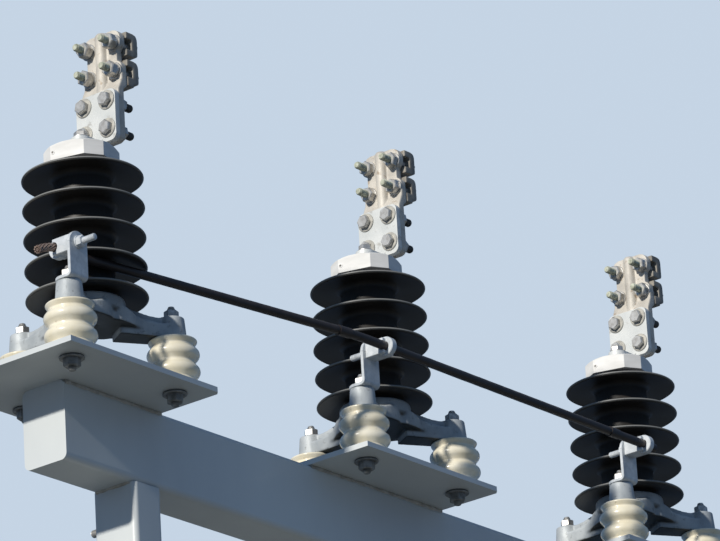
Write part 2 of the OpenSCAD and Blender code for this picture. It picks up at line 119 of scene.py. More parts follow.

# %% [markdown]
# ## Finishes
# Nothing on this object has one flat colour. Every finish starts from its plain colour and gets three
# things on top: slow clouds where the surface has aged, a fine grain in the bump, and roughness that
# wanders a little. Some get layers as well: flakes of zinc, stains, dust above, dirt with painted shade
# below, or a painted highlight with some dust on a rim.
# Noise on Object coordinates does this without any image, and because the pieces made here keep their
# object at the origin, the pattern runs on from piece to piece without repeating.

# %% Nodes that the finishes share
def noise_node(nodes, links, where, size_mm, detail=4.0, stretch=(1, 1, 1)):
    """Noise whose blobs are about size_mm across, read on Object coordinates."""
    place = nodes.new("ShaderNodeMapping")
    place.inputs["Scale"].default_value = stretch
    links.new(where.outputs["Object"], place.inputs["Vector"])
    cloud = nodes.new("ShaderNodeTexNoise")
    cloud.inputs["Scale"].default_value = 1000.0 / size_mm
    cloud.inputs["Detail"].default_value = detail
    links.new(place.outputs["Vector"], cloud.inputs["Vector"])
    return cloud


def ramp_node(nodes, links, source, low, high, colour_low, colour_high):
    """Turns a grey value into a mix of two colours between two limits."""
    ramp = nodes.new("ShaderNodeValToRGB")
    ramp.color_ramp.elements[0].position = low
    ramp.color_ramp.elements[1].position = high
    ramp.color_ramp.elements[0].color = (*colour_low, 1)
    ramp.color_ramp.elements[1].color = (*colour_high, 1)
    links.new(source, ramp.inputs["Fac"])
    return ramp


def laid_over(nodes, links, mask, below, colour):
    """Lays a colour over what is below it, as thick as the mask says."""
    layer = nodes.new("ShaderNodeMix")
    layer.data_type = "RGBA"
    links.new(mask, layer.inputs["Factor"])
    links.new(below, layer.inputs["A"])
    layer.inputs["B"].default_value = (*colour, 1)
    return layer.outputs["Result"]


def facing_up(nodes, links):
    """How far the surface looks up, from -1 to 1."""
    normal = nodes.new("ShaderNodeNewGeometry")
    split = nodes.new("ShaderNodeSeparateXYZ")
    links.new(normal.outputs["Normal"], split.inputs["Vector"])
    return split.outputs["Z"]

# %% Layers of age
def spangled(nodes, links, where, below, cells_mm):
    """The flakes of a zinc coat, as faintly lighter and darker cells."""
    cells = nodes.new("ShaderNodeTexVoronoi")
    cells.inputs["Scale"].default_value = 1000.0 / cells_mm
    links.new(where.outputs["Object"], cells.inputs["Vector"])
    grey = nodes.new("ShaderNodeRGBToBW")
    links.new(cells.outputs["Color"], grey.inputs["Color"])
    spangle = nodes.new("ShaderNodeMix")
    spangle.data_type = "RGBA"
    spangle.blend_type = "OVERLAY"
    spangle.inputs["Factor"].default_value = 0.16
    links.new(below, spangle.inputs["A"])
    links.new(grey.outputs["Val"], spangle.inputs["B"])
    return spangle.outputs["Result"]


def stained(nodes, links, where, below, colour, size_mm, share):
    """Small stains with soft edges."""
    speck = noise_node(nodes, links, where, size_mm, 6.0)
    mask = ramp_node(nodes, links, speck.outputs["Fac"], share, share + 0.1, (0.75,) * 3, (0,) * 3)
    return laid_over(nodes, links, mask.outputs["Color"], below, colour)


def dusted(nodes, links, clouds, below, colour):
    """Patches of dust on what looks up."""
    up = nodes.new("ShaderNodeMapRange")
    up.inputs["From Min"].default_value = 0.3
    up.inputs["To Max"].default_value = 0.45
    links.new(facing_up(nodes, links), up.inputs["Value"])
    patch = nodes.new("ShaderNodeMath")
    patch.operation = "MULTIPLY"
    links.new(up.outputs["Result"], patch.inputs[0])
    links.new(clouds.outputs["Fac"], patch.inputs[1])
    return laid_over(nodes, links, patch.outputs["Value"], below, colour)


def dirt_and_shade_below(nodes, links, below, colour):
    """Dirt and painted shade on what looks down, darker the more the surface faces down."""
    down = nodes.new("ShaderNodeMapRange")
    down.inputs["From Min"].default_value = 0.1
    down.inputs["From Max"].default_value = -0.7
    down.inputs["To Max"].default_value = 0.95
    links.new(facing_up(nodes, links), down.inputs["Value"])
    return laid_over(nodes, links, down.outputs["Result"], below, colour)


def rim_highlight_and_dust(nodes, links, below, colour):
    """A paler colour, a painted highlight with some dust, where the mesh's own attribute "rim" says so."""
    rim = nodes.new("ShaderNodeAttribute")
    rim.attribute_name = "rim"
    return laid_over(nodes, links, rim.outputs["Fac"], below, colour)

# %% A finish from its layers
CLOUD_EDGES = (0.36, 0.66)
ROUGH_AGED = 0.12
ROUGH_PLAIN = -0.08


def finish(name, plain, aged, rough, cloud_mm, grain_mm, grain_depth_mm,
           metal=0.0, stretch=(1, 1, 1), spots=None, spot_mm=9.0, spot_share=0.34,
           top_dust=None, coat=0.0, cells_mm=0.0, rim_sheen_and_dust=None, under_dirt_and_shade=None, gloss=0.5):
    """A weathered finish: plain and aged colour in clouds, wandering roughness and grain in the bump."""
    material = bpy.data.materials.new(name)
    material.use_nodes = True
    nodes, links = material.node_tree.nodes, material.node_tree.links
    shader = nodes["Principled BSDF"]
    shader.inputs["Metallic"].default_value = metal
    shader.inputs["Coat Weight"].default_value = coat
    shader.inputs["Specular IOR Level"].default_value = gloss
    where = nodes.new("ShaderNodeTexCoord")
    clouds = noise_node(nodes, links, where, cloud_mm, 5.0, stretch)
    colour = ramp_node(nodes, links, clouds.outputs["Fac"], *CLOUD_EDGES, aged, plain).outputs["Color"]
    if cells_mm:
        colour = spangled(nodes, links, where, colour, cells_mm)
    if spots:
        colour = stained(nodes, links, where, colour, spots, spot_mm, spot_share)
    if top_dust:
        colour = dusted(nodes, links, clouds, colour, top_dust)
    # dirt with painted shade on what faces down
    if under_dirt_and_shade:
        colour = dirt_and_shade_below(nodes, links, colour, under_dirt_and_shade)
    # a painted highlight with some dust along a rim
    if rim_sheen_and_dust:
        colour = rim_highlight_and_dust(nodes, links, colour, rim_sheen_and_dust)
    links.new(colour, shader.inputs["Base Color"])
    wander = nodes.new("ShaderNodeMapRange")
    wander.inputs["To Min"].default_value = rough + ROUGH_AGED
    wander.inputs["To Max"].default_value = rough + ROUGH_PLAIN
    links.new(clouds.outputs["Fac"], wander.inputs["Value"])
    links.new(wander.outputs["Result"], shader.inputs["Roughness"])
    grain = noise_node(nodes, links, where, grain_mm, 3.0)
    bump = nodes.new("ShaderNodeBump")
    bump.inputs["Distance"].default_value = grain_depth_mm * MM
    bump.inputs["Strength"].default_value = 0.8
    links.new(grain.outputs["Fac"], bump.inputs["Height"])
    links.new(bump.outputs["Normal"], shader.inputs["Normal"])
    return material

# %% The finishes
FRAME_PAINT = finish("frame_paint", (0.64, 0.67, 0.66), (0.53, 0.56, 0.57), 0.42, 240, 2.2, 0.12,
                     stretch=(1, 1, 0.45), coat=0.12)
CREAM_RESIN = finish("cream_resin", (0.82, 0.77, 0.63), (0.74, 0.67, 0.50), 0.22, 30, 3.0, 0.05,
                     spots=(0.42, 0.35, 0.24), spot_mm=8, spot_share=0.24, coat=0.5)
# the cast base turns near black on what faces down: dirt with painted shade
CAST_GREY = finish("cast_grey", (0.48, 0.51, 0.52), (0.33, 0.36, 0.38), 0.50, 34, 1.3, 0.35, metal=0.1,
                   spots=(0.22, 0.23, 0.23), spot_mm=7, spot_share=0.3,
                   under_dirt_and_shade=(0.014, 0.016, 0.015), gloss=0.3)
# the pale rim colour of the housing is a painted highlight with some dust
BLACK_SILICONE = finish("black_silicone", (0.017, 0.015, 0.013), (0.028, 0.024, 0.020), 0.46, 60, 1.6, 0.05,
                        top_dust=(0.13, 0.125, 0.115), rim_sheen_and_dust=(0.19, 0.19, 0.18), gloss=0.3)
MACHINED = finish("machined_cap", (0.76, 0.75, 0.72), (0.66, 0.65, 0.62), 0.58, 45, 0.9, 0.08,
                  stretch=(1, 1, 3))
PAD_METAL = finish("pale_pad", (0.66, 0.67, 0.65), (0.54, 0.56, 0.55), 0.50, 38, 0.9, 0.12,
                   metal=0.1, spots=(0.38, 0.37, 0.34), spot_mm=12, spot_share=0.30)
CAST_CLAMP = finish("cast_clamp", (0.61, 0.57, 0.50), (0.46, 0.43, 0.38), 0.55, 26, 1.5, 0.45,
                    metal=0.1, spots=(0.32, 0.24, 0.16), spot_mm=10, spot_share=0.30)
# the keepers wear a darker copy of the clamp's cast colour, which is painted shade
SHADED_KEEPER_CAST = finish("cast_keeper_shaded", (0.31, 0.285, 0.24), (0.20, 0.185, 0.16), 0.55, 22, 1.5, 0.45,
                     metal=0.1, spots=(0.20, 0.16, 0.12), spot_mm=9, spot_share=0.32)
BOLT_ZINC = finish("bolt_zinc", (0.62, 0.61, 0.58), (0.38, 0.37, 0.35), 0.42, 7, 0.8, 0.08,
                   metal=0.7, spots=(0.22, 0.20, 0.18), spot_mm=6, spot_share=0.24)
THREAD_OLIVE = finish("thread_olive", (0.66, 0.67, 0.53), (0.34, 0.35, 0.26), 0.42, 6, 0.8, 0.08,
                      metal=0.3)
# near black: the pad's thread ends, and painted shade in the plug's socket and in the gap under each plate
DARK_THREAD_AND_SHADE = finish("dark_thread_and_shade", (0.12, 0.115, 0.105), (0.07, 0.068, 0.062), 0.50, 6, 0.8, 0.08,
                     metal=0.3)
GALVANISED = finish("galvanised", (0.64, 0.67, 0.69), (0.50, 0.53, 0.55), 0.48, 18, 1.0, 0.12,
                    metal=0.2, cells_mm=6)
OLD_ZINC = finish("old_zinc", (0.34, 0.34, 0.33), (0.18, 0.18, 0.17), 0.45, 9, 0.9, 0.1, metal=0.5)
DULL_WASHER = finish("dull_washer", (0.50, 0.48, 0.42), (0.33, 0.32, 0.29), 0.55, 9, 0.9, 0.1,
                     metal=0.2, spots=(0.24, 0.22, 0.19), spot_mm=6, spot_share=0.26)
WELD_PAINT = finish("weld_paint", (0.52, 0.49, 0.43), (0.36, 0.33, 0.28), 0.50, 14, 2.0, 0.3)
SLEEVE = finish("black_sleeve", (0.024, 0.018, 0.017), (0.038, 0.029, 0.026), 0.42, 22, 2.5, 0.15,
                gloss=0.4)
COPPER = finish("bare_copper", (0.36, 0.26, 0.21), (0.17, 0.12, 0.10), 0.46, 9, 1.0, 0.1, metal=0.3)
print(len(bpy.data.materials), "finishes")

# %% [markdown]
# ## Helpers for meshes
# A piece starts as a bmesh in millimetres. One helper recalculates its normals, moves the mesh to its
# place and marks the edges that should stay crisp, and another tells the frame which body it rides on.
# Most pieces are made once and stamped three times, because the arresters are alike.

# %% Close a mesh and hang it on the frame
# a piece whose edges stay crisp from this angle or a smaller one counts as machined and gets even flats
MACHINED_CRISP = 30


def hang(name, mesh, material, stands_for=(), flat=False):
    """Makes the object of a finished mesh, and says what it rides on and what it stands for."""
    mesh.materials.clear()
    mesh.materials.append(material)
    piece = bpy.data.objects.new(name, mesh)
    bpy.context.collection.objects.link(piece)
    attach(piece, "root")
    if flat:
        even = piece.modifiers.new("even", "WEIGHTED_NORMAL")
        even.keep_sharp = True
    if stands_for:
        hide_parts(*stands_for)
    return piece


def to_mesh(name, bm, place=(0, 0, 0), crisp=38):
    """A bmesh in millimetres becomes a mesh in metres, moved to its place, with crisp edges marked."""
    bmesh.ops.recalc_face_normals(bm, faces=bm.faces)
    mesh = bpy.data.meshes.new(name)
    bm.to_mesh(mesh)
    mesh.transform(Matrix.Scale(MM, 4) @ Matrix.Translation(Vector(place)))
    mesh.shade_smooth()
    mesh.set_sharp_from_angle(angle=math.radians(crisp))
    return mesh


def arrester_origin(n):
    """Centre of arrester n at the underside of its mounting plate."""
    return ((n - 2) * PITCH, BANK_Y, BEAM_TOP)


def stamp(name, bm, material, stands_for=(), crisp=38):
    """Hangs one copy of a mesh on each of the three arresters."""
    for n in (1, 2, 3):
        mesh = to_mesh(f"{name}_{n}", bm, arrester_origin(n), crisp)
        nodes = [f"{node}_{n}" for node in stands_for]
        hang(f"{name}_{n}", mesh, material, nodes, crisp <= MACHINED_CRISP)
    print(name, "x 3,", len(bm.faces), "faces each")
    bm.free()


def hang_one(name, bm, material, stands_for=(), crisp=38):
    """Hangs a mesh drawn in its final place."""
    print(name, len(bm.faces), "faces")
    hang(name, to_mesh(name, bm, crisp=crisp), material, stands_for, crisp <= MACHINED_CRISP)
    bm.free()

# %% Turned and sawn shapes
def add_part(bm, part, turn=Matrix()):
    """Moves a finished part to its place and joins it to the larger mesh."""
    bmesh.ops.transform(part, matrix=turn, verts=part.verts)
    bmesh.ops.recalc_face_normals(part, faces=part.faces)
    mesh = bpy.data.meshes.new("part")
    part.to_mesh(mesh)
    part.free()
    bm.from_mesh(mesh)
    bpy.data.meshes.remove(mesh)


def revolve(bm, profile, steps=96, turn=Matrix()):
    """Spins a profile of (radius, height) points round Z; points on the axis are merged to poles."""
    part = bmesh.new()
    verts = [part.verts.new((r, 0, z)) for r, z in profile]
    edges = [part.edges.new(pair) for pair in zip(verts, verts[1:])]
    bmesh.ops.spin(part, geom=verts + edges, cent=(0, 0, 0), axis=(0, 0, 1), angle=math.tau, steps=steps,
                   use_merge=True)
    bmesh.ops.remove_doubles(part, verts=part.verts, dist=0.002)
    add_part(bm, part, turn)


def prism(bm, outline, depth, turn=Matrix(), round_edges=0.0, segments=2):
    """Extrudes an outline of (x, y) points along Z and rounds its edges."""
    part = bmesh.new()
    face = part.faces.new([part.verts.new((x, y, 0)) for x, y in outline])
    made = bmesh.ops.extrude_face_region(part, geom=[face])
    top = [g for g in made["geom"] if isinstance(g, bmesh.types.BMVert)]
    bmesh.ops.translate(part, vec=(0, 0, depth), verts=top)
    if round_edges:
        part.normal_update()
        rim = [e for e in part.edges if e.is_manifold and e.calc_face_angle(0) > math.radians(25)]
        bmesh.ops.bevel(part, geom=rim, offset=round_edges, segments=segments, profile=0.5,
                        affect="EDGES", material=-1, clamp_overlap=True)
    add_part(bm, part, turn)


def arc(cx, cy, r, start, end, steps):
    """Points of an arc, angles in degrees."""
    angles = [math.radians(start + (end - start) * i / steps) for i in range(steps + 1)]
    return [(cx + r * math.cos(a), cy + r * math.sin(a)) for a in angles]


def box_outline(x0, x1, y0, y1, r=0.0, steps=5):
    """A rectangle with round corners."""
    if not r:
        return [(x0, y0), (x1, y0), (x1, y1), (x0, y1)]
    return (arc(x1 - r, y0 + r, r, -90, 0, steps) + arc(x1 - r, y1 - r, r, 0, 90, steps)
            + arc(x0 + r, y1 - r, r, 90, 180, steps) + arc(x0 + r, y0 + r, r, 180, 270, steps))


def move(x, y, z):
    """A shift as a matrix."""
    return Matrix.Translation((x, y, z))


def spun(degrees, axis="Z"):
    """A turn as a matrix."""
    return Matrix.Rotation(math.radians(degrees), 4, axis)


ALONG_Y = spun(-90, "X")
DOWN = spun(180, "X")
BACK = spun(-90, "Y")
FORTH = spun(90, "Y")
# drawn in (x, y) and meant as (y, z), extruded along X
ACROSS = Matrix(((0, 0, 1, 0), (1, 0, 0, 0), (0, 1, 0, 0), (0, 0, 0, 1)))


def side_slab(bm, outline, width, round_edges=0.0):
    """An outline of (x, z) points, half of its width on each side of y = 0."""
    prism(bm, outline, width, move(0, width / 2, 0) @ spun(90, "X"), round_edges)


def cut(bm, other, how):
    """Boolean of two closed meshes: INTERSECT keeps what both share, DIFFERENCE takes the other away."""
    pair = []
    for part in (bm, other):
        mesh = bpy.data.meshes.new("cut")
        bmesh.ops.recalc_face_normals(part, faces=part.faces)
        part.to_mesh(mesh)
        part.free()
        pair.append(bpy.data.objects.new("cut", mesh))
        bpy.context.collection.objects.link(pair[-1])
    knife = pair[0].modifiers.new("knife", "BOOLEAN")
    knife.operation = how
    knife.solver = "EXACT"
    knife.use_self = True
    knife.object = pair[1]
    result = bmesh.new()
    result.from_mesh(pair[0].evaluated_get(bpy.context.evaluated_depsgraph_get()).to_mesh())
    for piece in pair:
        bpy.data.objects.remove(piece)
    return result

# %% [markdown]
# ## Nuts, washers and threads
# A hexagon nut isn't a plain prism: its corners are turned off. Insetting the end face and pulling the
# outer corners down gives such a chamfer with few faces. A thread is a zigzag profile, spun: rings instead
# of a spiral, whose crests catch the light as those of a real thread do.

# %% Fasteners
# the bolt that is used most, with its nut
BOLT_R = 6
NUT_FLATS = 19
NUT_H = 10


def hexagon(bm, flats, height, turn=Matrix()):
    """A nut or bolt head standing on z = 0, its top corners turned off."""
    part = bmesh.new()
    radius = flats / 2 / math.cos(math.pi / 6)
    bmesh.ops.create_cone(part, cap_ends=True, segments=6, radius1=radius, radius2=radius, depth=height,
                          matrix=move(0, 0, height / 2))
    lid = [f for f in part.faces if f.calc_center_median().z > height * 0.9]
    bmesh.ops.inset_individual(part, faces=lid, thickness=flats * 0.07)
    for vert in part.verts:
        if vert.co.z > height * 0.9 and vert.co.xy.length > radius * 0.95:
            vert.co.z -= flats * 0.07
    add_part(bm, part, turn)


def washer(bm, outer, inner, thick, turn=Matrix(), steps=28):
    """A flat ring standing on z = 0 with softened rims."""
    ease = thick * 0.22
    revolve(bm, [(inner, 0), (outer - ease, 0), (outer, ease), (outer, thick - ease),
                 (outer - ease, thick), (inner, thick), (inner, 0)], steps, turn)


def spring_washer(bm, outer, inner, thick, turn=Matrix(), steps=22):
    """A split ring: nearly one turn whose ends stand a little apart."""
    part = bmesh.new()
    corners = ((outer, 0, 0), (inner, 0, 0), (inner, 0, thick), (outer, 0, thick))
    face = part.faces.new([part.verts.new(corner) for corner in corners])
    bmesh.ops.spin(part, geom=[face], cent=(0, 0, 0), axis=(0, 0, 1), dvec=(0, 0, 0.6 / steps),
                   angle=math.radians(350), steps=steps, use_merge=False)
    add_part(bm, part, turn)


def thread(bm, radius, length, turn=Matrix(), pitch=1.75, steps=14):
    """A threaded end standing on z = 0: crests and roots, with a chamfered tip."""
    root = radius - pitch * 0.5
    profile = [(0, 0), (root, 0)]
    z = 0.0
    while z + pitch < length - 0.8:
        profile += [(root, z), (radius, z + pitch * 0.5)]
        z += pitch
    profile += [(root, z), (radius - 0.6, z + 0.5), (radius - 1.6, length), (0, length)]
    revolve(bm, profile, steps, turn)

# %% [markdown]
# ## The ribbed housing
# The sheds are moulded silicone. Each is a thin plate that droops at the rim, so rain drips off it, with a
# wide fillet below and a small one above. All of that is one profile, and a spin makes it solid. The
# mould's parting line stands proud by a hair on both sides, which a thin fin of the same outline gives.

# %% Housing
SHEDS = 5
LOWEST = HUB_TOP + 1.7
FILLET_BELOW = 10
FILLET_ABOVE = 4
# the heights of the two fillets' centres over the tip of the rim
FILLET_BELOW_Z = -5.2
FILLET_ABOVE_Z = 17.6
RIM_BELOW = 1.6
RIM_ABOVE = 2.3


def shed_outline(tip):
    """One shed whose rim hangs down to the height tip: wide fillet, rim, small fillet."""
    below = arc(CORE_R + FILLET_BELOW, tip + FILLET_BELOW_Z, FILLET_BELOW, 180, 98, 7)
    # the first shed's fillet would dip into the base, so it stops at the lowest height, each point a hair up
    below = [(r, max(z, LOWEST + 0.02 * i)) for i, (r, z) in enumerate(below)]
    rim = (arc(SHED_R - 2 * RIM_BELOW, tip + RIM_BELOW, RIM_BELOW, -98, -20, 4)
           + arc(SHED_R - RIM_ABOVE, tip + RIM_ABOVE, RIM_ABOVE, -10, 76, 6))
    return below + rim + arc(CORE_R + FILLET_ABOVE, tip + FILLET_ABOVE_Z, FILLET_ABOVE, 256, 180, 5)


profile = [(0, HUB_TOP), (CORE_R + 3, HUB_TOP), (CORE_R + 3, LOWEST)]
for k in range(SHEDS):
    profile += shed_outline(HUB_TOP + 2 + k * SHED_PITCH)
profile += [(CORE_R, HOUSING_TOP - 7), (CORE_R + 2, HOUSING_TOP - 6), (CORE_R + 2, HOUSING_TOP),
            (0, HOUSING_TOP)]
shell = bmesh.new()
revolve(shell, profile, 112)
print("housing outline of", len(profile), "points")

# %% Parting fins and painted rim highlights
FIN_OUT = 0.35
FIN_T = 0.8
FIN_TURN = 38
RIM_SHEEN_WIDTH = 2.2
RIM_SHEEN_FADE = 1.6
fin = [(x + FIN_OUT if x > CORE_R else x, z) for x, z in profile]
for side in (0, 180):
    prism(shell, fin, FIN_T, spun(side + FIN_TURN) @ spun(90, "X") @ move(0, 0, -FIN_T / 2))
# the attribute grows towards each shed's edge, where the painted highlight with some dust goes
rim = shell.verts.layers.float.new("rim")
for vert in shell.verts:
    vert[rim] = min(1.0, max(0.0, (vert.co.xy.length - SHED_R + RIM_SHEEN_WIDTH) / RIM_SHEEN_FADE))
stamp("ribbed_housing", shell, BLACK_SILICONE, ["housing"], crisp=60)

# %% [markdown]
# ## The insulating feet
# Each arrester stands on three small ribbed insulators of cast resin. Their outline is a soft wave: a thin
# lip, two full bulges and a lip again. Round arcs joined by slopes draw the lower half, which is turned
# over for the upper one, and the spin is fine enough to keep the highlights smooth.

# %% Feet
def foot_places():
    """The three feet, first the one at the front left."""
    angles = [math.radians(210 + 120 * i) for i in range(3)]
    return [(FOOT_PCD / 2 * math.cos(a), FOOT_PCD / 2 * math.sin(a)) for a in angles]


LIP_EDGE = 2
NECK_R = 2.5
NECK_Z = 9.2
BULGE_R = 9.5
BULGE_Z = 13.2
WAIST_R = 3.5
lip = FOOT_R - 3
waist = FOOT_R - 7
half = FOOT_H / 2
lower_half = (arc(lip - LIP_EDGE, LIP_EDGE, LIP_EDGE, -90, 40, 5)
              + arc(waist + NECK_R, NECK_Z, NECK_R, 230, 130, 4)
              + arc(FOOT_R - BULGE_R, half - BULGE_Z, BULGE_R, -42, 52, 10))
upper_half = [(r, FOOT_H - z) for r, z in reversed(lower_half)]
foot = ([(0, 0)] + lower_half + arc(waist + WAIST_R, half, WAIST_R, 232, 128, 5) + upper_half
        + [(0, FOOT_H)])
feet = bmesh.new()
for x, y in foot_places():
    revolve(feet, foot, 64, move(x, y, PLATE))
stamp("cream_feet", feet, CREAM_RESIN, ["insulating_feet"], crisp=50)

# %% [markdown]
# ## Sand castings
# The three-armed base and the line clamp are cast. Cast metal has no sharp inner corner: each junction is
# a small fillet, and each outer edge is round. Simple solids are pushed into each other, a voxel remesh
# melts them into one skin, and a light smoothing draws the fillets.

# %% Melt solids into one casting
def melt(bm, voxel_mm, rounds, keep):
    """Voxel remesh, smooth and thin out: overlapping solids become one cast skin."""
    mesh = bpy.data.meshes.new("casting")
    bmesh.ops.recalc_face_normals(bm, faces=bm.faces)
    bm.to_mesh(mesh)
    bm.free()
    rough = bpy.data.objects.new("casting", mesh)
    bpy.context.collection.objects.link(rough)
    skin = rough.modifiers.new("skin", "REMESH")
    skin.mode = "VOXEL"
    skin.voxel_size = voxel_mm
    ease = rough.modifiers.new("ease", "SMOOTH")
    ease.factor = 0.5
    ease.iterations = rounds
    thin = rough.modifiers.new("thin", "DECIMATE")
    thin.ratio = keep
    cast = bmesh.new()
    cast.from_mesh(rough.evaluated_get(bpy.context.evaluated_depsgraph_get()).to_mesh())
    bpy.data.objects.remove(rough)
    return cast

# %% The three-armed base
def base_arm(bm, turn):
    """One arm: a long box, a flare that widens into the hub, a rib on top and a tapered boss at the end."""
    reach = FOOT_PCD / 2
    boss_h = BOSS_TOP - BOSS_BOTTOM
    box_h = 22
    rib_t = 16
    prism(bm, [(42, -20), (reach, -17), (reach, 17), (42, 20)], box_h, turn @ move(0, 0, BOSS_BOTTOM))
    rib = ([(20, 18), (reach, 18), (reach, boss_h - 1)] + arc(reach - 24, boss_h + 59, 60, -90, -106, 5)
           + [(HUB_R + 6, boss_h + 8), (20, boss_h + 8)])
    prism(bm, rib, rib_t, turn @ move(0, rib_t / 2, BOSS_BOTTOM) @ spun(90, "X"))
    side = bmesh.new()
    side_slab(side, [(5, 11), (reach - 16, 11), (reach - 16, 18), (reach - 34, 24), (HUB_R + 16, 27),
                     (HUB_R + 4, 31), (HUB_R - 6, 35), (5, 35)], 100)
    plan = bmesh.new()
    right_half = [(10, -45), (36, -41), (52, -32), (66, -22), (84, -17), (reach - 10, -15)]
    prism(plan, right_half + [(x, -y) for x, y in reversed(right_half)], 60)
    add_part(bm, cut(plan, side, "INTERSECT"), turn @ move(0, 0, BOSS_BOTTOM))
    revolve(bm, [(0, 0), (BOSS_R + BOSS_DRAFT, 0), (BOSS_R, boss_h), (0, boss_h)], 40,
            turn @ move(reach, 0, BOSS_BOTTOM))


base = bmesh.new()
for i in range(3):
    base_arm(base, spun(210 + 120 * i))
hub_h = HUB_TOP - BOSS_BOTTOM
hub = ([(0, 14), (28, 14), (HUB_R - 9, 22), (HUB_R - 2, 27), (HUB_R, 31)]
       + arc(HUB_R - 4, hub_h - 4, 4, 0, 90, 4) + [(0, hub_h)])
revolve(base, hub, 72, move(0, 0, BOSS_BOTTOM))
stamp("three_arm_base", melt(base, 1.7, 4, 0.35), CAST_GREY, ["base_casting"], crisp=60)

# %% [markdown]
# ## Cap and angle terminal
# The cap is a machined square block with its corners cut off and its upper edge turned down, set at a
# small angle to the row. Its round riser takes the bolt of the angle terminal, a bent bar with a four-hole
# pad that faces the beam's end. Crisp bevels say "machined" next to the soft castings.

# %% Cap
outer, inner = CAP_HALF, CAP_HALF - CAP_CORNER
cap_outline = [(-outer, -inner), (-inner, -outer), (inner, -outer), (outer, -inner),
               (outer, inner), (inner, outer), (-inner, outer), (-outer, inner)]
block = bmesh.new()
prism(block, cap_outline, CAP_TOP - HOUSING_TOP, move(0, 0, HOUSING_TOP) @ spun(CAP_TURN), 0.7, 2)
turned = bmesh.new()
fall = CAP_HALF / 2 * math.tan(math.radians(30))
revolve(turned, [(0, HOUSING_TOP - 1), (1.5 * CAP_HALF, HOUSING_TOP - 1), (1.5 * CAP_HALF, CAP_TOP - fall),
                 (CAP_HALF, CAP_TOP), (0, CAP_TOP)], 96)
cap = cut(block, turned, "INTERSECT")
revolve(cap, [(0, -1), (RISER_R, -1), (RISER_R, RISER_H), (0, RISER_H)], 40, move(0, 0, CAP_TOP))
plug_z = (HOUSING_TOP + CAP_TOP) / 2 - 1.5
plug = spun(CAP_TURN) @ move(-CAP_HALF - 0.25, 23, plug_z) @ FORTH @ move(0, 0, -0.3)
washer(cap, 3.4, 1.6, 0.7, plug)
stamp("chamfered_cap", cap, MACHINED, ["cap"], crisp=24)
# a dark disc in the plug is painted shade for its socket
socket_shade = bmesh.new()
revolve(socket_shade, [(0, 0), (1.9, 0), (1.9, 0.45), (0, 0.45)], 20, plug)
stamp("cap_plug_shade", socket_shade, DARK_THREAD_AND_SHADE, crisp=28)

# %% Angle terminal
bar = bmesh.new()
foot_end = PALM_X - 0.4
foot_outline = ([(0, -FOOT_HALF), (foot_end, -FOOT_HALF), (foot_end, FOOT_HALF), (0, FOOT_HALF)]
                + arc(0, 0, FOOT_HALF, 97, 263, 20))
prism(bar, foot_outline, FOOT_PLATE, move(0, 0, CAP_TOP + RISER_H), 0.8, 2)
fillet = arc(PAD_X - 8, PAD_Z + 8, 8, 0, -90, 6)
side_slab(bar, [(PAD_X + 1, PAD_Z - 1), (PAD_X + 1, PAD_Z + 8)] + fillet + [(PAD_X - 8, PAD_Z - 1)],
          2 * FOOT_HALF - 6)
pad_outline = box_outline(-PAD_HALF, PAD_HALF, PAD_Z, PAD_TOP, 10, 8)
prism(bar, pad_outline, PAD_T, move(PAD_X, 0, 0) @ ACROSS, 0.9, 2)
stamp("angle_terminal", bar, PAD_METAL, ["terminal"], crisp=30)

# %% [markdown]
# ## The line clamp
# Its body is one casting behind the pad: a flat palm, then a jaw that is set back a little, with a lower
# and an upper pair of ears and a waist between them. A round spine runs up in front of the conductor. Two
# thick keepers with round backs close the jaw; their ends are open, and the bolt heads sink into pockets.
# Of each, two views are cut against each other first, and the result is melted like the base.

# %% Clamp body
front = bmesh.new()
views = (box_outline(-PALM_HALF, PALM_HALF, PALM_Z, SHOULDER_Z, 11, 6),
         box_outline(-29, 29, JAW_ROW, JAW_ROW + JAW_PITCH),
         box_outline(-36, 36, JAW_TOP - 36, JAW_TOP, 16, 8))
for view in views:
    prism(front, view, 40, move(PALM_X - 5, 0, 0) @ ACROSS)
side = bmesh.new()
side_slab(side, [(PALM_X, PALM_Z - 1), (PALM_BACK, PALM_Z - 1), (PALM_BACK, PAD_TOP + 3),
                 (GROOVE_X, PAD_TOP + 10), (GROOVE_X, JAW_TOP + 1), (JAW_X, JAW_TOP + 1),
                 (JAW_X, PAD_TOP + 21), (PALM_X, PAD_TOP + 1)], 90)
body = cut(front, side, "INTERSECT")
spine_z = PAD_TOP - 4
spine_h = JAW_TOP - spine_z
spine = [(0, 0), (10, 0), (10, spine_h - 4), (7, spine_h), (0, spine_h)]
revolve(body, spine, 32, move(PALM_X + 10, 0, spine_z))
groove = bmesh.new()
revolve(groove, [(0, 0), (GROOVE_R, 0), (GROOVE_R, 120), (0, 120)], 32, move(GROOVE_X, 0, PAD_TOP + 2))
body = melt(body, 1.2, 4, 0.6)
body = cut(body, groove, "DIFFERENCE")
stamp("clamp_casting", body, CAST_CLAMP, ["clamp_body"], crisp=50)

# %% Keepers
KEEPER_CORNER = 14
POCKET_R = 10.8
OPENING_H = 17
OPENING_DEPTH = 12
OPENING_INNER = 13


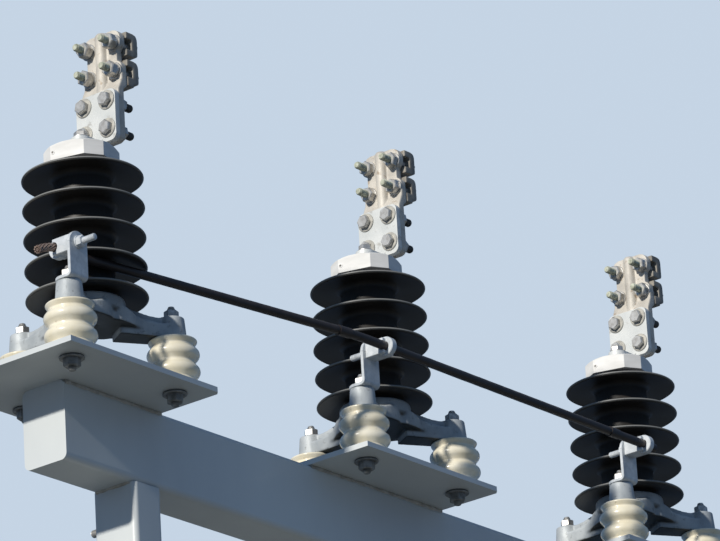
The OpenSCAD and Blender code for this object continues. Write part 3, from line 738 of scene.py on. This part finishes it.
def keeper_blank(z, lip):
    """A thick bar: flat at the jaw, round at the back, open at both ends, with pockets for the heads."""
    end = bmesh.new()
    outline = [(0, -KEEPER_R - lip), (KEEPER_FLAT, -KEEPER_R - lip)] if lip else [(0, -KEEPER_R)]
    outline += arc(KEEPER_FLAT, 0, KEEPER_R, -90, 90, 20) + [(0, KEEPER_R)]
    side_slab(end, outline, 2 * KEEPER_HALF + 4)
    plan = bmesh.new()
    round_x = KEEPER_FLAT + KEEPER_R - KEEPER_CORNER
    round_y = KEEPER_HALF - KEEPER_CORNER
    prism(plan, [(-1, -KEEPER_HALF)] + arc(round_x, -round_y, KEEPER_CORNER, -90, 0, 8)
          + arc(round_x, round_y, KEEPER_CORNER, 0, 90, 8) + [(-1, KEEPER_HALF)], 100, move(0, 0, -50))
    knife = bmesh.new()
    for i in (-1, 1):
        near, far = sorted((OPENING_INNER * i, 50 * i))
        prism(knife, [(-3, near), (OPENING_DEPTH, near), (OPENING_DEPTH, far), (-3, far)], OPENING_H,
              move(0, 0, -OPENING_H / 2))
    bar = melt(cut(cut(end, plan, "INTERSECT"), knife, "DIFFERENCE"), 1.1, 6, 0.6)
    holes = bmesh.new()
    for i in (-1, 1):
        revolve(holes, [(0, 0), (POCKET_R, 0), (POCKET_R + 0.4, 20), (0, 20)], 32,
                move(HEAD_SEAT, i * JAW_BOLT_Y, 0) @ FORTH)
    revolve(holes, [(0, -40), (GROOVE_R, -40), (GROOVE_R, 40), (0, 40)], 32, move(-0.5, 0, 0))
    bar = cut(bar, holes, "DIFFERENCE")
    bmesh.ops.translate(bar, vec=(KEEPER_X, 0, z), verts=bar.verts)
    return bar


keepers = bmesh.new()
add_part(keepers, keeper_blank(JAW_ROW, 5))
add_part(keepers, keeper_blank(JAW_ROW + JAW_PITCH, 0))
# their darker cast colour is painted shade
stamp("keeper_castings", keepers, SHADED_KEEPER_CAST, ["clamp_keepers"], crisp=50)

# %% [markdown]
# ## Bolts of the terminal and the clamp
# Four bolts hold pad and palm together, with wide dished washers under their heads towards the beam's end.
# Four more close the jaws: their heavy nuts and long olive thread ends point the same way, so they make
# the clamp look bristly. The four heads on a pad are all turned differently, and so are the four nuts of
# its jaws.

# %% Terminal bolts
def dished_washer(bm, outer, inner, thick, dish, turn=Matrix(), steps=32):
    """A ring whose middle stands proud of its rim by the dish."""
    ease = thick * 0.3
    revolve(bm, [(inner, dish), (outer - ease, 0), (outer, ease), (outer - 0.2, thick - ease),
                 (outer - ease - 0.6, thick), (inner, thick + dish), (inner, dish)], steps, turn)


def bolt_grid():
    """The bolts in pairs, one of the pad and one of the jaw: side, row, and y and z of both."""
    return [(side, row, (side * PAD_SPACING / 2, PAD_ROW + row * PAD_SPACING),
             (side * JAW_BOLT_Y, JAW_ROW + row * JAW_PITCH)) for side in (-1, 1) for row in (0, 1)]


def clamp_bolts(n, stack):
    """Bolts of the terminal and the clamp; stack is what the jaw nuts of this clamp have under them."""
    bm = bmesh.new()
    hexagon(bm, 18, 8, move(0, 0, PAD_Z + 2.5) @ spun(20 + 17 * n))
    washer(bm, 12.5, 6, 2.5, move(0, 0, PAD_Z))
    thread(bm, 5, 3, move(0, 0, PAD_Z + 10.5))
    shank = HEAD_SEAT + JAW_T
    for side, row, pad, jaw in bolt_grid():
        lean = spun(17 * side + 23 * row + 37 * n)
        hexagon(bm, NUT_FLATS, 7.6, move(PAD_X - 2.7, *pad) @ BACK @ lean)
        washer(bm, 12, BOLT_R, 2.4, move(PALM_BACK, *pad) @ FORTH)
        hexagon(bm, NUT_FLATS, NUT_H, move(PALM_BACK + 2.4, *pad) @ FORTH @ lean)
        lean = spun(9 * side - 31 * row + 23 * n)
        washer(bm, 13, BOLT_R, 2, move(JAW_X + 0.2, *jaw) @ BACK)
        if stack > 2:
            spring_washer(bm, 10.4, BOLT_R, stack - 2.8, move(JAW_X - 1.8, *jaw) @ BACK @ lean)
        hexagon(bm, 21, 10.5, move(JAW_X - stack + 0.2, *jaw) @ BACK @ lean)
        hexagon(bm, 18, 7, move(KEEPER_X + HEAD_SEAT, *jaw) @ FORTH @ lean)
        revolve(bm, [(0, 0), (BOLT_R, 0), (BOLT_R, shank), (0, shank)], 20, move(JAW_X + 1, *jaw) @ FORTH)
    return bm


for n, stack in ((1, 7), (2, 2), (3, 2)):
    mesh = to_mesh(f"clamp_bolts_{n}", clamp_bolts(n, stack), arrester_origin(n), 28)
    hang(f"clamp_bolts_{n}", mesh, BOLT_ZINC, [f"terminal_bolts_{n}"], flat=True)
print("clamp_bolts x 3")

# %% Pad washers and thread ends
dishes = bmesh.new()
tips = bmesh.new()
dark = bmesh.new()
for side, row, pad, jaw in bolt_grid():
    dished_washer(dishes, 15, BOLT_R, 2.2, 0.3, move(PAD_X, *pad) @ BACK)
    thread(tips, BOLT_R, 21.5, move(JAW_X - 10.3, *jaw) @ BACK, steps=18)
    thread(dark, BOLT_R + 0.3, 17.5, move(PALM_BACK + 12.4, *pad) @ FORTH)
stamp("pad_washers", dishes, DULL_WASHER, crisp=28)
stamp("jaw_thread_ends", tips, THREAD_OLIVE, crisp=28)
stamp("pad_thread_ends", dark, DARK_THREAD_AND_SHADE, crisp=28)

# %% [markdown]
# ## Bolts through the feet
# A stud runs through plate, foot and boss. Below the plate sit a dark ring, which is painted shade in the
# gap above the washer, then a wide dished washer and a heavy nut, and above the boss a washer and a nut.
# At the front left the flat bar of the cable clamp lies under the nut.

# %% Foot bolts
studs = bmesh.new()
# a dark ring under each plate is painted shade in the gap above the dished washer
rings = bmesh.new()
lower = bmesh.new()
for i, (x, y) in enumerate(foot_places()):
    seat = BOSS_TOP + (BAR_T if i == 0 else 0)
    turn = spun(14 + 31 * i)
    washer(rings, 17.6, BOLT_R, 2.2, move(x, y, 0) @ DOWN)
    dished_washer(lower, 18.5, BOLT_R, 2.4, -1.8, move(x, y, -1.8) @ DOWN)
    hexagon(lower, 22, 13, move(x, y, -2.6) @ DOWN @ turn)
    thread(lower, BOLT_R + 0.3, 5.4, move(x, y, -15.6) @ DOWN)
    washer(studs, 12, BOLT_R, 2.5, move(x, y, seat))
    hexagon(studs, NUT_FLATS, NUT_H, move(x, y, seat + 2.5) @ turn)
    thread(studs, BOLT_R, 6, move(x, y, seat + 2.5 + NUT_H))
stamp("foot_studs", studs, BOLT_ZINC, ["foot_bolts"], crisp=28)
stamp("plate_nuts", lower, OLD_ZINC, crisp=28)
stamp("gap_shade_rings", rings, DARK_THREAD_AND_SHADE, crisp=28)

# %% [markdown]
# ## Earth cable, its flat bars and clamps
# A bent flat bar stands on the front left boss of each arrester. An eye bolt draws the cable into a notched
# saddle block on the bar. The first saddle is behind its bar and the other two are in front, so the cable
# crosses over on its way.

# %% Flat bars
bars = bmesh.new()
heel = (-BRACKET_FRONT + BAR_BEND, BOSS_TOP + BAR_BEND)
strip = ([(-FOOT_Y, BOSS_TOP), (-FOOT_Y, BOSS_TOP + BAR_T)] + arc(*heel, BAR_BEND - BAR_T, 270, 180, 5)
         + [(-BRACKET_FRONT + BAR_T, CABLE_Z - 2), (-BRACKET_FRONT, CABLE_Z - 2)]
         + arc(*heel, BAR_BEND, 180, 270, 6))
prism(bars, strip, 2 * BAR_HALF, move(-FOOT_X - BAR_HALF, 0, 0) @ ACROSS, 0.6, 1)
prism(bars, arc(0, 0, BAR_HALF, 180, 360, 20), BAR_T,
      move(-FOOT_X, -BRACKET_FRONT + BAR_T, CABLE_Z - 2) @ ALONG_Y @ move(0, 0, -BAR_T), 0.6, 1)
prism(bars, arc(0, 0, BAR_HALF, 0, 180, 20), BAR_T, move(-FOOT_X, -FOOT_Y, BOSS_TOP), 0.6, 1)
stamp("flat_bars", bars, GALVANISED, ["cable_bracket"], crisp=30)

# %% Saddles and eye bolts
def cable_grip(bm, turn):
    """Saddle, eye and nut, built towards -Y from the face of the bar."""
    saddle_w = 25
    block = [(-12, 0), (-12, -34)] + arc(0, -EYE_REACH, 7.2, 196, -16, 14) + [(12, -34), (12, 0)]
    side_on = Matrix(((0, 0, 1, 0), (0, 1, 0, 0), (1, 0, 0, 0), (0, 0, 0, 1)))
    prism(bm, block, saddle_w, turn @ move(-saddle_w / 2, 0, 0) @ side_on, 0.7, 1)
    eye = [(7.3, -5.5), (14, -5.5), (15, -4.5), (15, 4.5), (14, 5.5), (7.3, 5.5), (7.3, -5.5)]
    revolve(bm, eye, 40, turn @ move(0, -EYE_REACH, 0) @ FORTH)
    washer(bm, 10, 5, 2, turn @ move(0, BAR_T, 0) @ ALONG_Y)
    hexagon(bm, 16, 8, turn @ move(0, BAR_T + 2, 0) @ ALONG_Y @ spun(12))
    thread(bm, 5, 22, turn @ move(0, BAR_T + 10, 0) @ ALONG_Y, 1.5)


for n in (1, 2, 3):
    grip = bmesh.new()
    x, y, z = arrester_origin(n)
    place = move(x - FOOT_X, y - BRACKET_FRONT, z + CABLE_Z)
    if n == 1:
        place = place @ move(0, BAR_T, 0) @ spun(180)
    cable_grip(grip, place)
    hang_one(f"cable_grip_{n}", grip, GALVANISED, [f"cable_clamp_{n}"], crisp=30)

# %% [markdown]
# ## The cable itself
# The cable keeps its CAD route: taut from the first clamp to the third, with small bends where it crosses
# to the front. A curve with a round bevel follows the route, and the sleeve's diameter wanders by a few
# tenths of a millimetre, as a shrunk sleeve does. Beyond the first clamp the bare twisted copper shows.

# %% Rods along a path
def tube(bm, path, radius, wander=0.0, steps=5):
    """A round rod along a path of points. A poly curve with a bevel makes it, then becomes mesh."""
    curve = bpy.data.curves.new("rod", "CURVE")
    curve.dimensions = "3D"
    curve.bevel_depth = radius
    curve.bevel_resolution = steps
    curve.use_fill_caps = True
    line = curve.splines.new("POLY")
    line.points.add(len(path) - 1)
    for point, here in zip(line.points, path):
        point.co = (*here, 1)
        point.radius = 1 + wander * noise.noise(Vector(here) * 0.13)
    rod = bpy.data.objects.new("rod", curve)
    bpy.context.collection.objects.link(rod)
    mesh = bpy.data.meshes.new_from_object(rod.evaluated_get(bpy.context.evaluated_depsgraph_get()))
    bm.from_mesh(mesh)
    bpy.data.objects.remove(rod)
    bpy.data.meshes.remove(mesh)


def run(a, b, step):
    """Points from a towards b, without b."""
    a, b = Vector(a), Vector(b)
    count = max(1, round((b - a).length / step))
    return [tuple(a.lerp(b, i / count)) for i in range(count)]


def eased(points, step, rounds):
    """A route with points every step, its corners rounded off by averaging."""
    path = []
    for a, b in zip(points, points[1:]):
        path += run(a, b, step)
    path.append(tuple(points[-1]))
    for _ in range(rounds):
        inner = [tuple((Vector(p) + 2 * Vector(q) + Vector(r)) / 4)
                 for p, q, r in zip(path, path[1:], path[2:])]
        path = [path[0]] + inner + [path[-1]]
    return path

# %% Sleeve
SLEEVE_R = 6.95
COLLAR_R = 8.1
COLLAR_HALF = 21
clamp_1, clamp_2, clamp_3 = (arrester_origin(n)[0] - FOOT_X for n in (1, 2, 3))
level = BEAM_TOP + CABLE_Z
back_y = BANK_Y - BRACKET_FRONT + BAR_T + EYE_REACH
front_y = BANK_Y - BRACKET_FRONT - EYE_REACH
route = eased([(clamp_1 + 16, back_y, level), (clamp_1 + 40, back_y, level),
               (clamp_2 - 75, front_y, level), (clamp_3 + 24, front_y, level)], 12, 6)
sleeve = bmesh.new()
tube(sleeve, route, SLEEVE_R, 0.03, 8)
for collar in (clamp_2 - 97, clamp_3 - 81):
    tube(sleeve, [point for point in route if abs(point[0] - collar) < COLLAR_HALF], COLLAR_R, 0.08, 8)
hang_one("sleeved_cable", sleeve, SLEEVE, ["earth_cable"], crisp=50)

# %% Bare strands
LAY = 88
ACROSS_CABLE = Vector((0, 1, 0))
droop = [(15.5, 0), (-14, 0), (-32, -5.5), (-48, -13.5)]
middle = eased([(clamp_1 + dx, back_y, level + dz) for dx, dz in droop], 2, 8)


def strand(share, offset):
    """A strand that winds round the middle line, starting at a share of a full turn."""
    points = []
    travelled = 0.0
    for here, after in zip(middle, middle[1:]):
        along = Vector(after) - Vector(here)
        a = math.tau * (share - travelled / LAY)
        up = along.normalized().cross(ACROSS_CABLE)
        points.append(tuple(Vector(here) + offset * (math.cos(a) * ACROSS_CABLE + math.sin(a) * up)))
        travelled += along.length
    return points


tail = bmesh.new()
for count, offset, radius in ((9, 4.9, 1.4), (1, 0, 2.6)):
    for k in range(count):
        tube(tail, strand(k / count, offset), radius, 0.08, 2)
hang_one("bare_strands", tail, COPPER, ["earth_cable_tail"], crisp=60)

# %% [markdown]
# ## Welds and the back studs
# The frame is welded and then painted. A weld is a small lumpy bead, so each is a thin rod whose radius
# wanders with noise, in a browner and dirtier paint than the frame's own. The studs at the back of the
# posts are for earth leads.

# %% Weld beads
def bead(bm, a, b, radius=4.0):
    """A lumpy bead from a to b."""
    tube(bm, run(a, b, 2.6) + [b], radius, 0.5, 2)


BEAM_BOTTOM = BEAM_TOP - BEAM_H
SEAM_Y = 36.2
SEAM_HALF = 158
seam_z = BEAM_TOP - 2.6
welds = bmesh.new()
for n in (-1, 0, 1):
    start = n * PITCH - SEAM_HALF if n > -1 else -BEAM_END + 4
    end = n * PITCH + SEAM_HALF if n < 1 else BEAM_END - 4
    for y in (-SEAM_Y, SEAM_Y):
        bead(welds, (start, y, seam_z), (end, y, seam_z))
for side in (-1, 1):
    for x in (side * POST_X - POST_HALF, side * POST_X + POST_HALF):
        bead(welds, (x, -32, BEAM_BOTTOM), (x, 32, BEAM_BOTTOM), 2.8)
hang_one("weld_beads", welds, WELD_PAINT, crisp=60)

# %% Back studs
for side, word in ((-1, "left"), (1, "right")):
    stud = bmesh.new()
    spot = move(side * POST_X, 40, BEAM_BOTTOM - 48) @ ALONG_Y
    washer(stud, 13, BOLT_R, 3, spot)
    hexagon(stud, NUT_FLATS, NUT_H, spot @ move(0, 0, 3) @ spun(20))
    thread(stud, BOLT_R, 15, spot @ move(0, 0, 3 + NUT_H))
    hang_one(f"back_stud_{word}", stud, BOLT_ZINC, [f"earth_stud_{word}"], crisp=28)

# %% [markdown]
# ## Paint on the frame
# Beam, posts and plates keep their CAD shape, because it is already right. Only their finish is changed.

# %% Paint
painted = [node for name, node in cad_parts.items()
           if name.startswith(("beam", "post", "mounting_plate"))]
for node in painted:
    for slot in node.material_slots:
        slot.material = FRAME_PAINT
    if not node.material_slots:
        node.data.materials.append(FRAME_PAINT)
print(len(painted), "CAD nodes painted")

# %% [markdown]
# ## Floor, light and camera
# The photograph was taken from near the ground with a long lens, looking up at the row, and the camera
# here has the same view. A low sun from the left gives shape, and blue light from the sky fills the shade.
# The pale ground and sky that the camera sees come from Light Path, so they add no light of their own.

# %% Floor
FLOOR_SEEN = (0.62, 0.62, 0.60, 1)
FLOOR_FILL = (0.22, 0.215, 0.185, 1)
floor_bm = bmesh.new()
bmesh.ops.create_circle(floor_bm, cap_ends=True, segments=64, radius=14)
floor_mesh = bpy.data.meshes.new("floor")
floor_bm.to_mesh(floor_mesh)
floor_bm.free()
floor = bpy.data.objects.new("floor", floor_mesh)
bpy.context.collection.objects.link(floor)
floor_paint = bpy.data.materials.new("floor")
floor_paint.use_nodes = True
nodes, links = floor_paint.node_tree.nodes, floor_paint.node_tree.links
pale = nodes["Principled BSDF"]
pale.inputs["Base Color"].default_value = FLOOR_SEEN
pale.inputs["Roughness"].default_value = 0.9
dull = nodes.new("ShaderNodeBsdfDiffuse")
dull.inputs["Color"].default_value = FLOOR_FILL
floor_path = nodes.new("ShaderNodeLightPath")
floor_mix = nodes.new("ShaderNodeMixShader")
links.new(floor_path.outputs["Is Camera Ray"], floor_mix.inputs["Fac"])
links.new(dull.outputs["BSDF"], floor_mix.inputs[1])
links.new(pale.outputs["BSDF"], floor_mix.inputs[2])
links.new(floor_mix.outputs["Shader"], nodes["Material Output"].inputs["Surface"])
floor_mesh.materials.append(floor_paint)
print("floor", round(floor.dimensions.x), "m across")

# %% Sky
SKY_SEEN = (0.56, 0.66, 0.78, 1)
SKY_FILL = (0.37, 0.60, 1.0, 1)
FILL_STRENGTH = 0.32
world = bpy.data.worlds.new("sky")
bpy.context.scene.world = world
world.use_nodes = True
nodes, links = world.node_tree.nodes, world.node_tree.links
nodes.clear()
seen = nodes.new("ShaderNodeBackground")
seen.inputs["Color"].default_value = SKY_SEEN
seen.inputs["Strength"].default_value = 1.0
fill = nodes.new("ShaderNodeBackground")
fill.inputs["Color"].default_value = SKY_FILL
fill.inputs["Strength"].default_value = FILL_STRENGTH
path = nodes.new("ShaderNodeLightPath")
either = nodes.new("ShaderNodeMath")
either.operation = "MAXIMUM"
links.new(path.outputs["Is Camera Ray"], either.inputs[0])
links.new(path.outputs["Is Transmission Ray"], either.inputs[1])
mix = nodes.new("ShaderNodeMixShader")
links.new(either.outputs["Value"], mix.inputs["Fac"])
links.new(fill.outputs["Background"], mix.inputs[1])
links.new(seen.outputs["Background"], mix.inputs[2])
out = nodes.new("ShaderNodeOutputWorld")
links.new(mix.outputs["Shader"], out.inputs["Surface"])
print("sky with", len(nodes), "nodes")

# %% Sun
SUN_AZIMUTH = math.radians(182)
SUN_HEIGHT = math.radians(24)
sun_data = bpy.data.lights.new("sun", "SUN")
sun_data.energy = 4.0
sun_data.color = (1.0, 0.955, 0.88)
sun_data.angle = math.radians(2.5)
sun = bpy.data.objects.new("sun", sun_data)
bpy.context.collection.objects.link(sun)
towards_sun = Vector((math.cos(SUN_AZIMUTH), math.sin(SUN_AZIMUTH), math.tan(SUN_HEIGHT)))
sun.rotation_euler = towards_sun.to_track_quat("Z", "Y").to_euler()
print("sun", round(math.degrees(SUN_HEIGHT)), "degrees high")

# %% Camera
LENS_MM = 258.7
CAMERA_PLACE = Vector((-5.8785, -4.6179, 1.5462))
RIGHT = Vector((0.6315, -0.7733, -0.0564)).normalized()
AHEAD = Vector((0.7344, 0.5731, 0.3637)).normalized()
camera_data = bpy.data.cameras.new("camera")
camera_data.lens = LENS_MM
camera_data.sensor_width = 36
camera_data.clip_end = 100
camera = bpy.data.objects.new("camera", camera_data)
bpy.context.collection.objects.link(camera)
up = RIGHT.cross(AHEAD).normalized()
right = AHEAD.cross(up).normalized()
camera.matrix_world = Matrix((
    (right.x, up.x, -AHEAD.x, CAMERA_PLACE.x), (right.y, up.y, -AHEAD.y, CAMERA_PLACE.y),
    (right.z, up.z, -AHEAD.z, CAMERA_PLACE.z), (0, 0, 0, 1)))
bpy.context.scene.camera = camera
bpy.context.scene.view_settings.view_transform = "Standard"
print("camera", round(CAMERA_PLACE.z, 2), "m above the ground")
